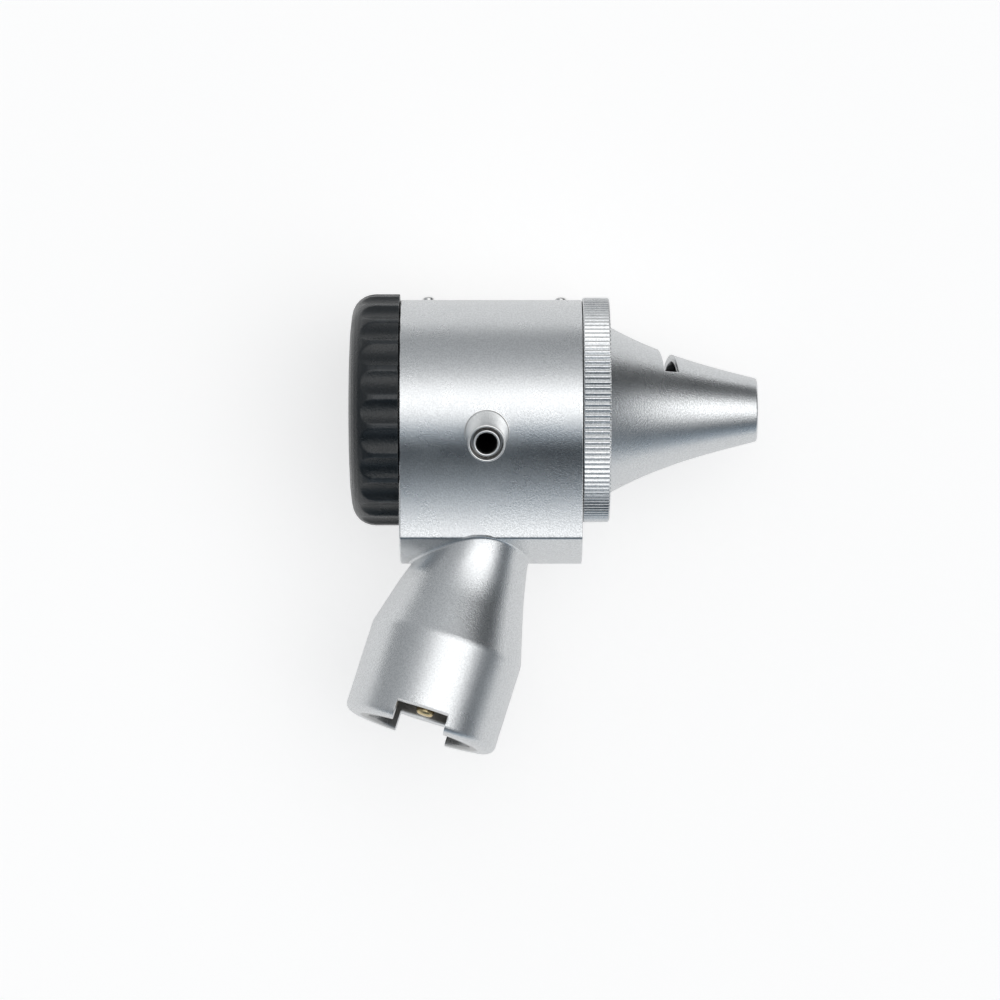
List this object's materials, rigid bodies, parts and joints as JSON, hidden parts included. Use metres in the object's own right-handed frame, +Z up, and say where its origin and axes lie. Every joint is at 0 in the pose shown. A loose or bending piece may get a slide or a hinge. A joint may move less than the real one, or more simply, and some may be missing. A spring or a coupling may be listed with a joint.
{
  "type": "otoscope head",
  "caption": "Otoscope head with a screwed magnifier cap, a slotted nose cone under a knurled ring, an air nipple and a tilted neck with a bayonet mouth for a handle.",
  "frame": {"origin": "centre of the neck's mouth, in the plane of its end face, where the handle plugs in", "axes": "+X along the optical axis from the magnifier to the ear tip, +Z up from the mouth to the body, -Y the side with the air nipple"},
  "size_m": [0.0519, 0.0348, 0.0585],
  "materials": {
    "satin_silver": "fine satin, bead blasted, slightly cool silver",
    "bright_metal": "turned and bright nickel plated",
    "black_plastic": "semi-matt moulded black",
    "black_anodised": "matt black anodised, to kill reflections",
    "rubber": "black nitrile",
    "brass": "turned brass, lightly nickel plated and worn",
    "clear_glass": "polished",
    "insulator": "dark brown moulded",
    "fibre_sheath": "black sleeve over the fibre bundle",
    "tungsten": "drawn wire"
  },
  "bodies": {
    "head": {"head_shell": "satin_silver", "rear_collar": "bright_metal", "front_collar": "bright_metal", "viewing_tube": "black_anodised", "rear_screw": "bright_metal", "front_screw": "bright_metal", "insufflation_port": "bright_metal", "light_pipe": "fibre_sheath", "neck_shell": "satin_silver", "neck_union": "bright_metal", "guide_ferrule": "brass", "lamp_socket": "brass", "grip_spring": "bright_metal"},
    "nose": {"nose_cone": "satin_silver", "nose_seal": "rubber"},
    "ring": {"clamp_ring": "satin_silver"},
    "cap_slider": {"cap_seal": "rubber"},
    "cap": {"lens_cap": "black_plastic", "lens": "clear_glass", "lens_gasket": "rubber", "lens_retainer": "black_anodised"},
    "lamp": {"lamp_base": "brass", "lamp_insulator": "insulator", "lamp_contact": "brass", "lamp_glass": "clear_glass", "lamp_filament": "tungsten"}
  },
  "joints": [
    {"name": "nose_pull", "type": "slide", "parent": "head", "child": "nose", "axis": [1, 0, 0], "range_m": [0, 0.03]},
    {"name": "ring_turn", "type": "hinge", "parent": "nose", "child": "ring", "pos_m": [0.0225, 0, 0.0412], "axis": [1, 0, 0], "continuous": true},
    {"name": "cap_travel", "type": "slide", "parent": "head", "child": "cap_slider", "axis": [-1, 0, 0], "range_m": [0, 0.0023]},
    {"name": "cap_turn", "type": "hinge", "parent": "cap_slider", "child": "cap", "pos_m": [-0.006, 0, 0.0412], "axis": [-1, 0, 0], "range_deg": [0, 1080]},
    {"name": "lamp_pull", "type": "slide", "parent": "head", "child": "lamp", "axis": [-0.3007, 0, -0.9537], "range_m": [0, 0.02]}
  ],
  "couplings": [
    {"joint": "cap_travel", "follows": "cap_turn", "m_per_rad": 0.00011937}
  ]
}
